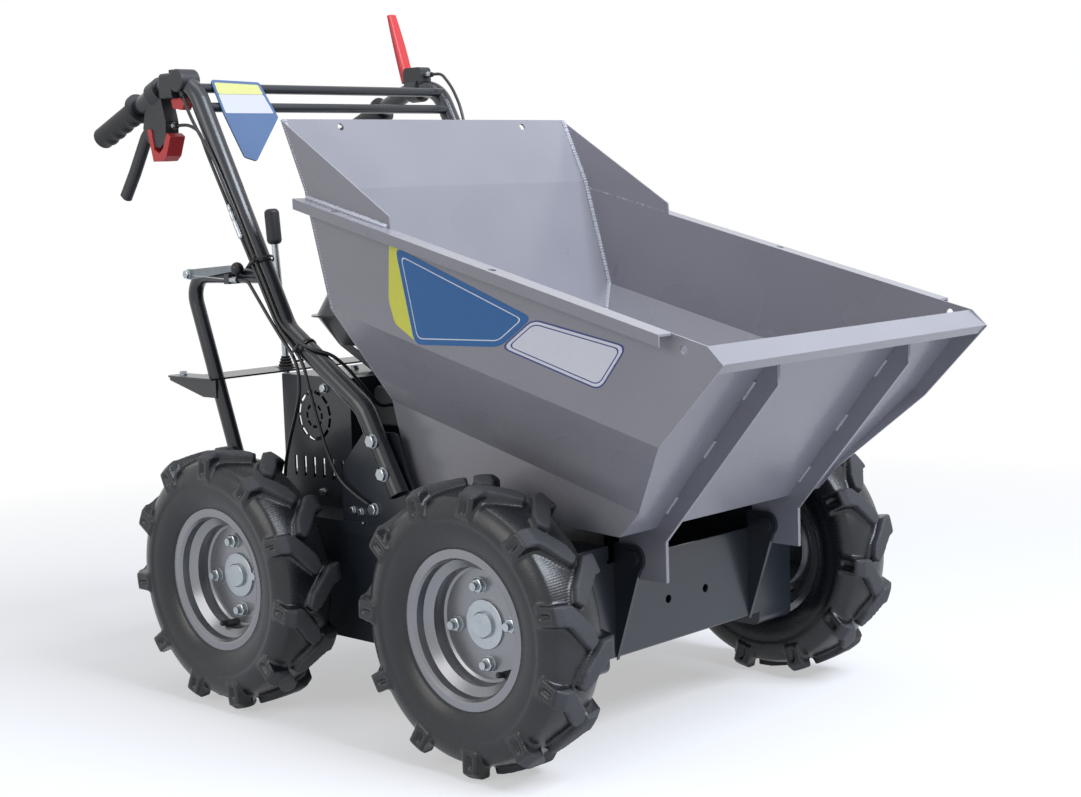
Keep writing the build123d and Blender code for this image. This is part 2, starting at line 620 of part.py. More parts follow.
def fan_housing():
    """Round blower housing with the recoil starter cup and its ring of air slots."""
    x, z = CRANK
    drum = fillet(y_cylinder(x, -158, z, 60, 68).edges().group_by(Axis.Y)[0], 8)
    cup = fillet(y_cylinder(x, -182, z, 46, 26).edges().group_by(Axis.Y)[0], 6)
    shell = drum + cup
    for i in range(12):
        shell -= Pos(x, 0, z) * Rot(0, 30 * i, 0) * upright_box((22, 38), (-190, -172), (-3, 3))
    return shell


def tank_half(z_from, z_to, base, top):
    sections = [
        Plane(origin=(TANK_X, 0, z)) * RectangleRounded(length, width, 42)
        for z, (length, width) in ((z_from, base), (z_to, top))
    ]
    return loft(sections)


def fuel_tank():
    """Two pressed halves that meet in a flat seam, with a round cap."""
    lower = tank_half(563, 611, (156, 208), (204, 258))
    upper = tank_half(614, 670, (204, 258), (160, 214))
    upper = fillet(upper.edges().group_by(Axis.Z)[-1], 14)
    seam = extrude(Plane(origin=(TANK_X, 0, 611)) * RectangleRounded(222, 276, 50), amount=3)
    cap = Pos(TANK_X, 34, 675) * Cylinder(27, 18)
    return lower + seam + upper + cap


def engine_cover():
    """Folded sheet over the engine, with a strap on two slanting legs that carries the tank."""
    back, front = COVER_X
    side = COVER_HALF_WIDTH
    deck = upright_box((back, front), (-side, side), (COVER_TOP_Z - SHEET, COVER_TOP_Z))
    plate = upright_box((back, front), (side - SHEET, side), (CASE_TOP_Z, COVER_TOP_Z))
    fall = upright_box((front - SHEET, front), (-side, -72), (CASE_TOP_Z + 52, COVER_TOP_Z))
    cover = deck + plate + mirrored(plate) + fall
    cover -= upright_box((front - 56, front + 1), (-62, 62), (COVER_TOP_Z - 10, COVER_TOP_Z + 1))
    ring = Pos(CRANK[0], -side, CRANK[1])
    for i in range(12):
        cover -= ring * Rot(0, 30 * i + 15, 0) * upright_box((36, 42), (-10, 10), (-8, 8))
    for i in range(8):
        cover -= ring * Rot(0, 45 * i, 0) * upright_box((16, 21), (-10, 10), (-5, 5))
    for i in range(6):
        cover -= Pos(-308 + 24 * i, -side, 367) * upright_box((-3, 3), (-10, 10), (-17, 17))
    for i in range(3):
        cover -= Pos(-215 + 13 * i, -125, COVER_TOP_Z) * upright_box((-3, 3), (-22, 22), (-9, 9))
    strap = upright_box((TANK_X - 70, TANK_X + 70), (-86, 86), (560, 563))
    slant = [(-70, 560), (-40, 560), (40, COVER_TOP_Z), (10, COVER_TOP_Z)]
    leg = outline_xz([(TANK_X + x, z) for x, z in slant], 83, 86)
    return cover + strap + leg + mirrored(leg)


def air_filter():
    shell = upright_box((-152, -82), (-150, -70), (440, 506))
    shell = fillet(shell.edges().filter_by(Axis.Y), 14)
    return fillet(shell.edges().group_by(Axis.Y)[0], 5)


def muffler():
    """Pressed box beside the cylinder, with the outlet pipe at its front."""
    can = upright_box((-158, -72), (62, 158), (440, 504))
    can = fillet(can.edges().filter_by(Axis.Y), 18)
    pipe = Pos(-72, 110, 468) * Rot(0, 90, 0) * (Cylinder(13, 30) - Cylinder(10.5, 30))
    return can + pipe


def gearbox():
    """Cast gearbox in the pan, whose output shafts enter both chain cases."""
    body = upright_box((-70, 110), (-110, 110), (160, 286))
    body = fillet(body.edges().filter_by(Axis.Y), 24)
    flange = fillet(upright_box((-82, 122), (-5, 5), (148, 298)).edges().filter_by(Axis.Y), 26)
    shafts = y_cylinder(20, -CASE_INNER_Y, 226, 22, 2 * CASE_INNER_Y)
    return body + flange + shafts


def build():
    nodes = {}
    base_tyre, base_rim, base_hub = tyre(), rim(), hub()
    for end, x in (("front", WHEELBASE / 2), ("rear", -WHEELBASE / 2)):
        for side, sign in (("left", 1), ("right", -1)):
            place = Pos(x, sign * TRACK / 2, TYRE_RADIUS)
            for kind, solid in (("tyre", base_tyre), ("rim", base_rim), ("hub", base_hub)):
                turned = Rot(0, WHEEL_TURN[end], 0) * solid if kind == "tyre" else solid
                nodes[f"{kind}_{end}_{side}"] = place * (turned if sign > 0 else mirrored(turned))
    pairs = {
        "chain_case": chain_case(),
        "skip_side": skip_side(),
        "handlebar_tube": handlebar_tube(),
        "guard_tube": guard_tube(),
        "bar_bracket": bar_bracket(),
        "grip": grip(),
    }
    for name, solid in pairs.items():
        nodes[f"{name}_left"] = solid
        nodes[f"{name}_right"] = mirrored(solid)
    for side, bracket_y, ear_y in zip(("right", "left"), BRACKET_Y, EAR_Y):
        nodes[f"pivot_bracket_{side}"] = pivot_bracket(bracket_y, ear_y)
        nodes[f"skip_rib_{side}"] = skip_rib(ear_y)
    nodes["guard_tube_right"] += mirrored(lever_anchor())
    nodes["latch_lever"] = mirrored(latch_lever())
    nodes["cable_clutch"] = mirrored(cable("clutch cable", CLUTCH_CABLE))
    nodes["cable_throttle"] = mirrored(cable("throttle cable", THROTTLE_CABLE))
    nodes["cable_latch"] = mirrored(cable("latch cable", LATCH_CABLE))
    nodes["cable_tip"] = cable("tipping cable", TIP_CABLE)
    nodes["chassis_pan"] = chassis_pan()
    nodes["rest_beam"] = rest_beam()
    nodes["skip_back_panel"] = skip_back_panel()
    nodes["skip_front_panel"] = skip_front_panel()
    nodes["skip_floor"] = skip_floor()
    nodes["crossbar_upper"] = crossbar(996)
    nodes["crossbar_lower"] = crossbar(964)
    nodes["rear_shelf"] = rear_shelf()
    nodes["control_panel"] = control_panel()
    nodes["clutch_perch"] = mirrored(clutch_perch())
    nodes["clutch_lever"] = mirrored(clutch_lever())
    nodes["clutch_lock"] = mirrored(clutch_lock())
    nodes["throttle_housing"] = mirrored(throttle_housing())
    nodes["throttle_thumb"] = mirrored(throttle_thumb())
    nodes["tip_lever_mount"] = tip_lever_mount()
    nodes["tip_lever"] = tip_lever()
    nodes["gear_lever"] = gear_lever()
    nodes["gear_knob"] = gear_knob()
    nodes["gearbox"] = gearbox()
    nodes["engine_mount"] = engine_mount()
    nodes["engine_block"] = engine_block()
    nodes["cylinder_head"] = cylinder_head()
    nodes["fan_housing"] = fan_housing()
    nodes["engine_cover"] = engine_cover()
    nodes["fuel_tank"] = fuel_tank()
    nodes["air_filter"] = air_filter()
    nodes["muffler"] = muffler()
    return nodes


if __name__ == "__main__":
    os.makedirs("parts", exist_ok=True)
    for name, solid in build().items():
        export_step(solid, f"parts/{name}.step")
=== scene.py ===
import bpy
import bmesh
import math
from mathutils import Matrix, Vector, noise


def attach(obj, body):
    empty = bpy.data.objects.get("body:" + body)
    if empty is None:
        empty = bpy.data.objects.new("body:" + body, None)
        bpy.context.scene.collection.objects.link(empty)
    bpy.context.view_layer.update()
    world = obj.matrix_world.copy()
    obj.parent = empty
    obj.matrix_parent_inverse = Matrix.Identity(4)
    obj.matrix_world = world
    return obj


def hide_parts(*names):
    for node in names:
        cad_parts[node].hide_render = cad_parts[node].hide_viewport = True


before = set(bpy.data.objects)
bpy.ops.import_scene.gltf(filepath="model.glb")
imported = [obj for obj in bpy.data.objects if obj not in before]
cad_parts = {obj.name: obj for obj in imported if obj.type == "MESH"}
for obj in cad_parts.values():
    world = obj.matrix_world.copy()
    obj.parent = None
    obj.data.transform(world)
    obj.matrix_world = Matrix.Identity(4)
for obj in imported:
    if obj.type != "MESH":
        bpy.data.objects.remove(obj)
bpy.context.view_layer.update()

# Camera: it stands ahead of the machine on its right side, a little above the skip's lip.
# The lens and the slight roll come from the fit of the wheels and the skip to the photograph.
camera_right = Vector((0.72478, 0.68820, -0.03289))
camera_up = Vector((-0.05686, 0.10732, 0.99260))
camera_back = camera_right.cross(camera_up)
camera = bpy.data.objects.new("camera", bpy.data.cameras.new("camera"))
camera.data.sensor_width = 36
camera.data.lens = 60.64
camera.matrix_world = Matrix((camera_right, camera_up, camera_back)).transposed().to_4x4()
camera.matrix_world.translation = Vector((2.0804, -2.0885, 0.8213))
bpy.context.scene.collection.objects.link(camera)
bpy.context.scene.camera = camera
bpy.context.scene.view_settings.view_transform = "Standard"


# Studio floor: matt pale paper that keeps the machine's shadow and fades into a white background.
# Three large soft boxes light it: a strong one high in front of the skip, a weaker one on the near
# side and a faint one overhead.
def linear(hex_colour):
    """Linear RGBA from an sRGB hex colour."""
    parts = [int(hex_colour[i:i + 2], 16) / 255 for i in (1, 3, 5)]
    return [c / 12.92 if c <= 0.04045 else ((c + 0.055) / 1.055) ** 2.4 for c in parts] + [1]


def add(tree, kind, inputs=None, **settings):
    """Add a shader node: its settings by name, and its inputs as values or as sockets to link."""
    new = tree.nodes.new(kind)
    for name, value in settings.items():
        setattr(new, name, value)
    for name, value in (inputs or {}).items():
        if isinstance(value, bpy.types.NodeSocket):
            tree.links.new(value, new.inputs[name])
        else:
            new.inputs[name].default_value = value
    return new


def new_material(name):
    """Empty node material and its node tree."""
    material = bpy.data.materials.new(name)
    material.use_nodes = True
    material.node_tree.nodes.clear()
    return material, material.node_tree


WHITE = (1, 1, 1, 1)
PAPER_GLOW = 0.48
FADE_FROM, FADE_TO = 1.2, 2.6
FLOOR_REACH = 40
ROOM_LIGHT = 0.28
paper, tree = new_material("white_paper_floor")
where = add(tree, "ShaderNodeTexCoord").outputs["Object"]
distance = add(tree, "ShaderNodeVectorMath", {0: where}, operation="LENGTH").outputs["Value"]
far = add(tree, "ShaderNodeMapRange", {"Value": distance, "From Min": FADE_FROM, "From Max": FADE_TO})
path = add(tree, "ShaderNodeLightPath").outputs
seen = add(tree, "ShaderNodeMath", {0: path["Is Camera Ray"], 1: path["Is Glossy Ray"]}, operation="MAXIMUM")
fade = add(tree, "ShaderNodeMath", {0: far.outputs["Result"], 1: seen.outputs[0]}, operation="MULTIPLY")
glow = add(tree, "ShaderNodeMath", {0: seen.outputs[0], 1: PAPER_GLOW}, operation="MULTIPLY")
matt = add(tree, "ShaderNodeBsdfDiffuse", {"Color": linear("#BCBDC0")})
paper_white = add(tree, "ShaderNodeEmission", {"Color": WHITE, "Strength": glow.outputs[0]})
near = add(tree, "ShaderNodeAddShader", {0: matt.outputs[0], 1: paper_white.outputs[0]})
beyond = add(tree, "ShaderNodeEmission", {"Color": WHITE, "Strength": 1})
shader = add(tree, "ShaderNodeMixShader", {0: fade.outputs[0], 1: near.outputs[0], 2: beyond.outputs[0]})
add(tree, "ShaderNodeOutputMaterial", {"Surface": shader.outputs[0]})

floor_mesh = bpy.data.meshes.new("floor")
corners = [(FLOOR_REACH * x, FLOOR_REACH * y, 0) for x, y in ((-1, -1), (1, -1), (1, 1), (-1, 1))]
floor_mesh.from_pydata(corners, [], [(0, 1, 2, 3)])
floor_mesh.materials.append(paper)
floor = bpy.data.objects.new("floor", floor_mesh)
bpy.context.scene.collection.objects.link(floor)

# The room fills the shadows with a dim bluish light, while the camera and the reflections see white.
world = bpy.data.worlds.new("studio")
world.use_nodes = True
tree = world.node_tree
tree.nodes.clear()
path = add(tree, "ShaderNodeLightPath").outputs
seen = add(tree, "ShaderNodeMath", {0: path["Is Camera Ray"], 1: path["Is Glossy Ray"]}, operation="MAXIMUM")
seen = add(tree, "ShaderNodeMath", {0: seen.outputs[0], 1: path["Is Transmission Ray"]}, operation="MAXIMUM")
room = add(tree, "ShaderNodeBackground", {"Color": linear("#E1E9F8"), "Strength": ROOM_LIGHT})
sky = add(tree, "ShaderNodeBackground", {"Color": WHITE, "Strength": 1})
shader = add(tree, "ShaderNodeMixShader", {0: seen.outputs[0], 1: room.outputs[0], 2: sky.outputs[0]})
add(tree, "ShaderNodeOutputWorld", {"Surface": shader.outputs[0]})
bpy.context.scene.world = world

LAMPS_AIM_AT = Vector((0.1, 0, 0.5))
for name, place, size, power, colour in (
    ("front_soft_box", (3.3, 0.4, 3.9), (2.4, 2.4), 270, "#ECF3FF"),
    ("near_soft_box", (-0.6, -4.2, 2.2), (3.0, 2.0), 48, "#FFFCF8"),
    ("top_soft_box", (0.2, -0.4, 4.2), (3.0, 1.6), 28, "#FFFFFF"),
):
    lamp = bpy.data.lights.new(name, "AREA")
    lamp.shape = "RECTANGLE"
    lamp.size, lamp.size_y = size
    lamp.energy = power
    lamp.color = linear(colour)[:3]
    stand = bpy.data.objects.new(name, lamp)
    stand.location = place
    stand.rotation_euler = (LAMPS_AIM_AT - Vector(place)).to_track_quat("-Z", "Y").to_euler()
    bpy.context.scene.collection.objects.link(stand)


# Chassis pan, chain cases, brackets, engine mount, cover and shelf: mild steel, folded and welded, and
# powder coated anthracite. The coat levels to a fine orange peel with a soft gloss, so edges catch
# light and faces stay dark.
def powder_coat(name, colour, clouded_colour, peel_mm, roughness, metal_flake=0):
    """Baked powder coat: a bump of orange peel, and colour and gloss that vary over 180 mm patches."""
    material, tree = new_material(name)
    where = add(tree, "ShaderNodeTexCoord").outputs["Object"]
    peel = add(tree, "ShaderNodeTexNoise", {"Vector": where, "Scale": 1000 / peel_mm, "Detail": 3})
    cloud = add(tree, "ShaderNodeTexNoise", {
        "Vector": where, "Scale": 1000 / 180, "Detail": 2, "Roughness": 0.5,
    }).outputs["Fac"]
    shade = add(tree, "ShaderNodeMapRange", {"Value": cloud, "From Min": 0.35, "From Max": 0.75})
    tint = add(tree, "ShaderNodeMix", {
        0: shade.outputs[0], "A": linear(colour), "B": linear(clouded_colour),
    }, data_type="RGBA")
    gloss = add(tree, "ShaderNodeMapRange", {
        "Value": cloud, "From Min": 0.3, "From Max": 0.8,
        "To Min": roughness - 0.03, "To Max": roughness + 0.04,
    })
    bump = add(tree, "ShaderNodeBump", {"Height": peel.outputs["Fac"], "Strength": 0.25, "Distance": 0.0003})
    shader = add(tree, "ShaderNodeBsdfPrincipled", {
        "Base Color": tint.outputs["Result"], "Metallic": metal_flake, "Roughness": gloss.outputs[0],
        "Normal": bump.outputs[0], "IOR": 1.5, "Coat Weight": 0.25, "Coat Roughness": 0.15,
    })
    add(tree, "ShaderNodeOutputMaterial", {"Surface": shader.outputs[0]})
    return material


def dress(material, *beginnings):
    """Give the material to every node whose name starts with one of the beginnings."""
    for name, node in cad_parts.items():
        if name.startswith(beginnings):
            node.data.materials.clear()
            node.data.materials.append(material)


anthracite = powder_coat("anthracite_powder_coat", "#22272E", "#292F37", 1.8, 0.34)
dress(anthracite, "chassis_pan", "chain_case", "pivot_bracket", "rest_beam", "bar_bracket")
dress(anthracite, "engine_mount", "engine_cover", "rear_shelf")

# Hubs: turned steel flanges and plates with four studs each, zinc plated and clear passivated.
# The plating is bright with a faint blue cast and dulled in patches. Its grain is drawn at 1.2 mm,
# coarser than real, so that it shows.
zinc, tree = new_material("zinc_plated_steel")
where = add(tree, "ShaderNodeTexCoord").outputs["Object"]
grain = add(tree, "ShaderNodeTexNoise", {"Vector": where, "Scale": 1000 / 1.2, "Detail": 4})
patch = add(tree, "ShaderNodeTexNoise", {"Vector": where, "Scale": 1000 / 18, "Detail": 3}).outputs["Fac"]
tint = add(tree, "ShaderNodeMix", {
    0: patch, "A": linear("#9CA4AB"), "B": linear("#BCC1C3"),
}, data_type="RGBA")
gloss = add(tree, "ShaderNodeMapRange", {"Value": patch, "To Min": 0.2, "To Max": 0.38})
bump = add(tree, "ShaderNodeBump", {"Height": grain.outputs["Fac"], "Strength": 0.15, "Distance": 0.0002})
shader = add(tree, "ShaderNodeBsdfPrincipled", {
    "Base Color": tint.outputs["Result"], "Metallic": 1, "Roughness": gloss.outputs[0],
    "Normal": bump.outputs[0],
})
add(tree, "ShaderNodeOutputMaterial", {"Surface": shader.outputs[0]})
dress(zinc, "hub")

# Rims: pressed steel halves with a welded disc, in silver-grey wheel paint with fine metal flake.
# The flake mirrors the studio softly, so the dish's steps show bright and dark rings.
silver_paint = powder_coat("silver_wheel_paint", "#85868A", "#929397", 0.9, 0.24, metal_flake=0.7)
dress(silver_paint, "rim")

# Tyres: moulded black rubber, glossy blue-black on the carcass and scuffed dull grey on the lugs.
# Fine ribs run across the crown between the lugs, drawn at 4 mm, coarser than real, so that they show.
# The ribs set in over the shoulder and the scuffing over the lug tops, both at radii in millimetres.
WHEEL_X = 283
AXLE_Z = 209
SHOULDER_RADII = (188, 194)
LUG_TOP_RADII = (199, 203)
CROWN_RADIUS = 200
RIB_PITCH = 4
RIB_HEIGHT = 0.28
LUG_TOP_DULLNESS = 0.35
rubber, tree = new_material("moulded_tyre_rubber")
where = add(tree, "ShaderNodeTexCoord").outputs["Object"]
place = add(tree, "ShaderNodeSeparateXYZ", {"Vector": where}).outputs
from_middle = add(tree, "ShaderNodeMath", {0: place["X"]}, operation="ABSOLUTE").outputs[0]
ahead = add(tree, "ShaderNodeMath", {0: from_middle, 1: WHEEL_X / 1000}, operation="SUBTRACT").outputs[0]
up = add(tree, "ShaderNodeMath", {0: place["Z"], 1: AXLE_Z / 1000}, operation="SUBTRACT").outputs[0]
spoke = add(tree, "ShaderNodeCombineXYZ", {"X": ahead, "Y": up})
radius = add(tree, "ShaderNodeVectorMath", {0: spoke.outputs[0]}, operation="LENGTH").outputs["Value"]
lug_top = add(tree, "ShaderNodeMapRange", {
    "Value": radius, "From Min": LUG_TOP_RADII[0] / 1000, "From Max": LUG_TOP_RADII[1] / 1000,
}).outputs[0]
skin = add(tree, "ShaderNodeTexNoise", {
    "Vector": where, "Scale": 1000 / 3, "Detail": 6, "Roughness": 0.65,
}).outputs["Fac"]
dust = add(tree, "ShaderNodeTexNoise", {"Vector": where, "Scale": 1000 / 55, "Detail": 6, "Roughness": 0.7})
dusty = add(tree, "ShaderNodeMapRange", {"Value": dust.outputs["Fac"], "From Min": 0.45, "From Max": 0.85})
carcass = add(tree, "ShaderNodeMix", {
    0: dusty.outputs[0], "A": linear("#14171C"), "B": linear("#20242B"),
}, data_type="RGBA")
tint = add(tree, "ShaderNodeMix", {
    0: lug_top, "A": carcass.outputs["Result"], "B": linear("#3A3C40"),
}, data_type="RGBA")
scuff = add(tree, "ShaderNodeMapRange", {"Value": skin, "To Min": 0.2, "To Max": 0.38})
dull = add(tree, "ShaderNodeMath", {
    0: lug_top, 1: LUG_TOP_DULLNESS, 2: scuff.outputs[0],
}, operation="MULTIPLY_ADD")
angle = add(tree, "ShaderNodeMath", {0: up, 1: ahead}, operation="ARCTAN2")
turns = add(tree, "ShaderNodeMath", {
    0: angle.outputs[0], 1: math.tau * CROWN_RADIUS / RIB_PITCH,
}, operation="MULTIPLY")
rib = add(tree, "ShaderNodeMath", {0: turns.outputs[0]}, operation="SINE")
crown = add(tree, "ShaderNodeMapRange", {
    "Value": radius, "From Min": SHOULDER_RADII[0] / 1000, "From Max": SHOULDER_RADII[1] / 1000,
})
ribs = add(tree, "ShaderNodeMath", {0: rib.outputs[0], 1: crown.outputs[0]}, operation="MULTIPLY")
height = add(tree, "ShaderNodeMath", {
    0: ribs.outputs[0], 1: RIB_HEIGHT, 2: skin,
}, operation="MULTIPLY_ADD")
bump = add(tree, "ShaderNodeBump", {"Height": height.outputs[0], "Strength": 0.35, "Distance": 0.0006})
shader = add(tree, "ShaderNodeBsdfPrincipled", {
    "Base Color": tint.outputs["Result"], "Roughness": dull.outputs[0], "Normal": bump.outputs[0],
    "IOR": 1.52,
})
add(tree, "ShaderNodeOutputMaterial", {"Surface": shader.outputs[0]})
dress(rubber, "tyre")

# Moulding rounds every edge of the lugs and runs them into the carcass, so each tyre gets an even
# skin over the CAD tyre's shape, whose edges are then smoothed to a radius of a few millimetres.
SAME_POINT = 0.02
SKIN_STEP = 2.7
EDGE_SMOOTHING = 0.5
SMOOTHING_ROUNDS = 2
WHEELS = [(end, side) for end in ("front", "rear") for side in ("left", "right")]
for end, side in WHEELS:
    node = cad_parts[f"tyre_{end}_{side}"]
    joined = bmesh.new()
    joined.from_mesh(node.data)
    bmesh.ops.remove_doubles(joined, verts=joined.verts, dist=SAME_POINT / 1000)
    moulding = bpy.data.meshes.new("moulding")
    joined.to_mesh(moulding)
    joined.free()
    blank = bpy.data.objects.new("moulding", moulding)
    bpy.context.scene.collection.objects.link(blank)
    even_skin = blank.modifiers.new("even_skin", "REMESH")
    even_skin.mode = "VOXEL"
    even_skin.voxel_size = SKIN_STEP / 1000
    rounded_edges = blank.modifiers.new("rounded_edges", "SMOOTH")
    rounded_edges.factor = EDGE_SMOOTHING
    rounded_edges.iterations = SMOOTHING_ROUNDS
    finished = blank.evaluated_get(bpy.context.evaluated_depsgraph_get())
    moulded = bpy.data.meshes.new_from_object(finished)
    bpy.data.objects.remove(blank)
    moulded.materials.append(rubber)
    moulded.shade_smooth()
    tyre = bpy.data.objects.new(f"moulded_tyre_{end}_{side}", moulded)
    bpy.context.scene.collection.objects.link(tyre)
    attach(tyre, f"wheel_{end}_{side}")
    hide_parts(f"tyre_{end}_{side}")


# Wheel nuts and valves: zinc-plated M12 nuts on washers, screwed over the hub's four studs, and a
# snap-in rubber valve in each rim's disc. The stud ends stand out of the nuts; the valves are matt.
def turned(mesh, place, direction, *parts):
    """Add parts turned on one axis to the mesh: each is (sides, (along, radius), ...) in millimetres."""
    turn = Vector((0, 0, 1)).rotation_difference(Vector(direction)).to_matrix()
    for sides, *profile in parts:
        rings = []
        for along, radius in profile:
            angles = [math.tau * i / sides for i in range(sides)]
            corners = [Vector((radius * math.cos(a), radius * math.sin(a), along)) for a in angles]
            rings.append([mesh.verts.new((turn @ corner + Vector(place)) / 1000) for corner in corners])
        if profile[0] == profile[-1]:
            bmesh.ops.delete(mesh, geom=rings.pop(), context="VERTS")
            rings.append(rings[0])
        else:
            mesh.faces.new(rings[0])
            mesh.faces.new(rings[-1])
        for low, high in zip(rings, rings[1:]):
            for i in range(sides):
                mesh.faces.new((low[i - 1], low[i], high[i], high[i - 1]))


def fasten(name, mesh, material, body):
    """Make the mesh a piece that rides on the body; edges sharper than 35 degrees stay crisp."""
    bmesh.ops.recalc_face_normals(mesh, faces=mesh.faces)
    for face in mesh.faces:
        face.smooth = True
    for edge in mesh.edges:
        edge.smooth = edge.calc_face_angle(0) < math.radians(35)
    data = bpy.data.meshes.new(name)
    mesh.to_mesh(data)
    mesh.free()
    data.materials.append(material)
    piece = bpy.data.objects.new(name, data)
    bpy.context.scene.collection.objects.link(piece)
    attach(piece, body)


def bolt_head(mesh, place, direction, thread):
    """Add a washer and a hexagon head, chamfered at its top, for a thread diameter in mm."""
    washer = (24, (0, thread), (1.7, thread), (2, thread - 0.3))
    corner = 0.91 * thread
    head = (6, (2, corner), (2 + 0.58 * thread, corner), (2 + 0.66 * thread, 0.78 * thread))
    turned(mesh, place, direction, washer, head)


NUT_THREAD = 12
STUD_CIRCLE = 56
STUD_ANGLES = (7, 97, 187, 277)
DISC_FACE_Y = 337
VALVE_AT = {"front": (54, -63), "rear": (-13, -81)}
VALVE_DEPTH = 3
VALVE_STEM = (20, (0, 7.5), (4, 8), (7, 6.3), (20, 5.2), (21, 4.4), (31, 4.4), (32, 3.6))
valve_rubber, tree = new_material("valve_rubber")
where = add(tree, "ShaderNodeTexCoord").outputs["Object"]
bloom = add(tree, "ShaderNodeTexNoise", {"Vector": where, "Scale": 1000 / 4, "Detail": 3})
tint = add(tree, "ShaderNodeMix", {
    0: bloom.outputs["Fac"], "A": linear("#17181B"), "B": linear("#26282C"),
}, data_type="RGBA")
shader = add(tree, "ShaderNodeBsdfPrincipled", {
    "Base Color": tint.outputs["Result"], "Roughness": 0.55, "IOR": 1.5,
})
add(tree, "ShaderNodeOutputMaterial", {"Surface": shader.outputs[0]})
for end, side in WHEELS:
    wheel_x = WHEEL_X if end == "front" else -WHEEL_X
    out = 1 if side == "left" else -1
    nuts = bmesh.new()
    for angle in STUD_ANGLES:
        x = wheel_x + STUD_CIRCLE * math.cos(math.radians(angle))
        z = AXLE_Z + STUD_CIRCLE * math.sin(math.radians(angle))
        bolt_head(nuts, (x, out * DISC_FACE_Y, z), (0, out, 0), NUT_THREAD)
    fasten(f"wheel_nuts_{end}_{side}", nuts, zinc, f"wheel_{end}_{side}")
    valve = bmesh.new()
    root = (wheel_x + VALVE_AT[end][0], out * (DISC_FACE_Y - VALVE_DEPTH), AXLE_Z + VALVE_AT[end][1])
    turned(valve, root, (-0.2, out, 0.1), VALVE_STEM)
    fasten(f"valve_{end}_{side}", valve, valve_rubber, f"wheel_{end}_{side}")

# Skip: 3 mm steel sheets folded and welded, powder coated warm grey inside and out.
# The coat is thick and even, with a soft gloss and an orange peel of about 2 mm.
skip_grey = powder_coat("warm_grey_powder_coat", "#929198", "#98979E", 2.2, 0.28)
dress(skip_grey, "skip_")


# Weld beads: the ropes of steel that join the skip's sheets and tack its ribs, under the same coat.
# They lie in the back corners, at the feet of the cheeks and along the ribs; their coat is painted paler
# than the skip's, a painted highlight for the glints the beads catch.
def weld_bead(mesh, start, end, radius):
    """Add a rippled bead along a straight joint, a ripple every 5 mm."""
    start, end = Vector(start), Vector(end)
    steps = round((end - start).length / 5) * 3
    profile = []
    for i in range(steps + 1):
        unevenness = 0.25 * noise.noise(start + Vector((i, 0, 0)) * 0.37)
        ripple = 0.85 + 0.3 * abs(math.sin(math.pi * i / 3)) + unevenness
        profile.append(((end - start).length * i / steps, radius * ripple))
    turned(mesh, start, end - start, (7, *profile))


BACK_CORNER = ((-141, 314, 931), (-91.5, 314, 824), (-42, 314, 645), (-2, 233, 499))
CORNER_BEAD = 4.2
CHEEK_FOOT = ((-88, 319.5, 812), (90, 319.5, 766.3))
CHEEK_BEAD = 4.4
RIB_Y = (-157.4, 158.2)
RIB_THICKNESS = 6
RIB_TOP_X, RIB_TOP_Z = 652, 582
RIB_RUN_X, RIB_RUN_Z = 203, 248
TACK_STARTS = (0.12, 0.46, 0.8)
TACK_SHARE = 0.1
TACK_BEAD = 2.4
TACK_PROUD = 0.5
# The beads' coat is painted paler than the skip's grey: a painted highlight standing in for their glints.
weld_bead_painted_highlight = powder_coat("weld_coat_with_painted_highlight", "#B6B8C0", "#CBCDD3", 1.2, 0.3)
beads = bmesh.new()
for out in (-1, 1):
    for joint, radius in ((BACK_CORNER, CORNER_BEAD), (CHEEK_FOOT, CHEEK_BEAD)):
        for (x, y, z), (next_x, next_y, next_z) in zip(joint, joint[1:]):
            weld_bead(beads, (x, out * y, z), (next_x, out * next_y, next_z), radius)
for rib_y in RIB_Y:
    for face_y in (rib_y - TACK_PROUD, rib_y + RIB_THICKNESS + TACK_PROUD):
        for start in TACK_STARTS:
            ends = [
                (RIB_TOP_X - RIB_RUN_X * along, face_y, RIB_TOP_Z - RIB_RUN_Z * along)
                for along in (start, start + TACK_SHARE)
            ]
            weld_bead(beads, *ends, TACK_BEAD)
fasten("skip_weld_beads", beads, weld_bead_painted_highlight, "skip")


# Side panels: plain die-cut stickers of printed vinyl: a blue field with a white line, a yellow strip
# behind it and a white field with a navy line ahead of it, the same on both sides.
def vinyl(name, colour):
    """Printed and laminated film: even colour, a soft gloss, and the 9 mm ripple of the coat under it."""
    material, tree = new_material(name)
    where = add(tree, "ShaderNodeTexCoord").outputs["Object"]
    ripple = add(tree, "ShaderNodeTexNoise", {
        "Vector": where, "Scale": 1000 / 9, "Detail": 2,
    }).outputs["Fac"]
    level = add(tree, "ShaderNodeMapRange", {"Value": ripple, "To Min": 0.96, "To Max": 1.04})
    tint = add(tree, "ShaderNodeHueSaturation", {"Color": linear(colour), "Value": level.outputs[0]})
    bump = add(tree, "ShaderNodeBump", {"Height": ripple, "Strength": 0.15, "Distance": 0.0004})
    shader = add(tree, "ShaderNodeBsdfPrincipled", {
        "Base Color": tint.outputs[0], "Roughness": 0.32, "Normal": bump.outputs[0], "IOR": 1.5,
    })
    add(tree, "ShaderNodeOutputMaterial", {"Surface": shader.outputs[0]})
    return material


def with_neighbours(corners):
    """Each corner of a closed outline with the one before it and the one after it."""
    return zip(corners[-1:] + corners[:-1], corners, corners[1:] + corners[:1])


def inset(corners, by):
    """Corners of a convex outline moved inward by a distance."""
    middle = sum(corners, Vector((0, 0))) / len(corners)
    moved = []
    for before, here, after in with_neighbours(corners):
        inward = []
        for run in (here - before, after - here):
            across = run.orthogonal().normalized()
            inward.append(across if across.dot(middle - here) > 0 else -across)
        moved.append(here + (inward[0] + inward[1]) * by / (1 + inward[0].dot(inward[1])))
    return moved


